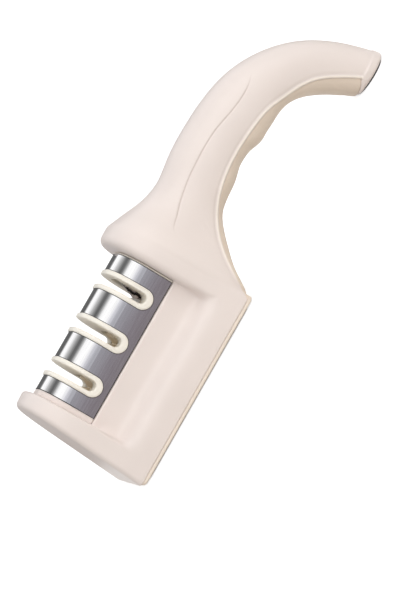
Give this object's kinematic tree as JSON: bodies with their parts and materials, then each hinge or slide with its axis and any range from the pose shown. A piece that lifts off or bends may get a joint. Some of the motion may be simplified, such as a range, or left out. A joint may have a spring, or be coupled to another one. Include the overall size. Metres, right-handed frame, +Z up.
{
  "type": "pull through knife sharpener",
  "caption": "Pull-through knife sharpener: walled base with a slotted steel-covered module of wheels and crossed blades, and a curved handle whose tip rests on the table.",
  "frame": {"origin": "centre of the base's underside, on the table", "axes": "+X along the handle, from the front end wall to the handle's tip; a knife is drawn through along Y; +Z up; the mirror plane is Y = 0"},
  "size_m": [0.2092, 0.0502, 0.0637],
  "materials": {
    "body": "fine satin, off-white with a warm tint",
    "grip": "fine satin, off-white with a warm tint",
    "module": "smooth cream",
    "inner": "moulded, unpolished",
    "steel": "bright, fine brushing along the length",
    "screws": "plain",
    "axle": "polished",
    "carbide": "ground carbide",
    "diamond": "sintered grit",
    "ceramic": "fine unglazed",
    "sole": "dull non-slip",
    "foot": "dark, dull"
  },
  "bodies": {
    "sharpener": {"upper_shell": "body", "lower_shell": "grip", "sole_pad": "sole", "tip_pad": "foot", "module_body": "module", "steel_cover": "steel", "module_keeper": "inner", "blade_holder": "inner", "carbide_blade_near": "carbide", "carbide_blade_far": "carbide", "keeper_screws": "screws", "module_screws": "screws", "shell_screws": "screws"},
    "fine_wheels": {"fine_wheel_front": "ceramic", "fine_wheel_rear": "ceramic", "fine_axle": "axle", "fine_spacer": "axle", "fine_washers": "axle"},
    "coarse_wheels": {"coarse_wheel_front": "diamond", "coarse_wheel_rear": "diamond", "coarse_axle": "axle", "coarse_spacer": "axle", "coarse_washers": "axle"}
  },
  "joints": [
    {"name": "fine_wheel_spin", "type": "hinge", "parent": "sharpener", "child": "fine_wheels", "pos_m": [-0.01955, 0, 0.0354], "axis": [1, 0, 0], "continuous": true},
    {"name": "coarse_wheel_spin", "type": "hinge", "parent": "sharpener", "child": "coarse_wheels", "pos_m": [0.0011, 0, 0.0354], "axis": [1, 0, 0], "continuous": true}
  ]
}
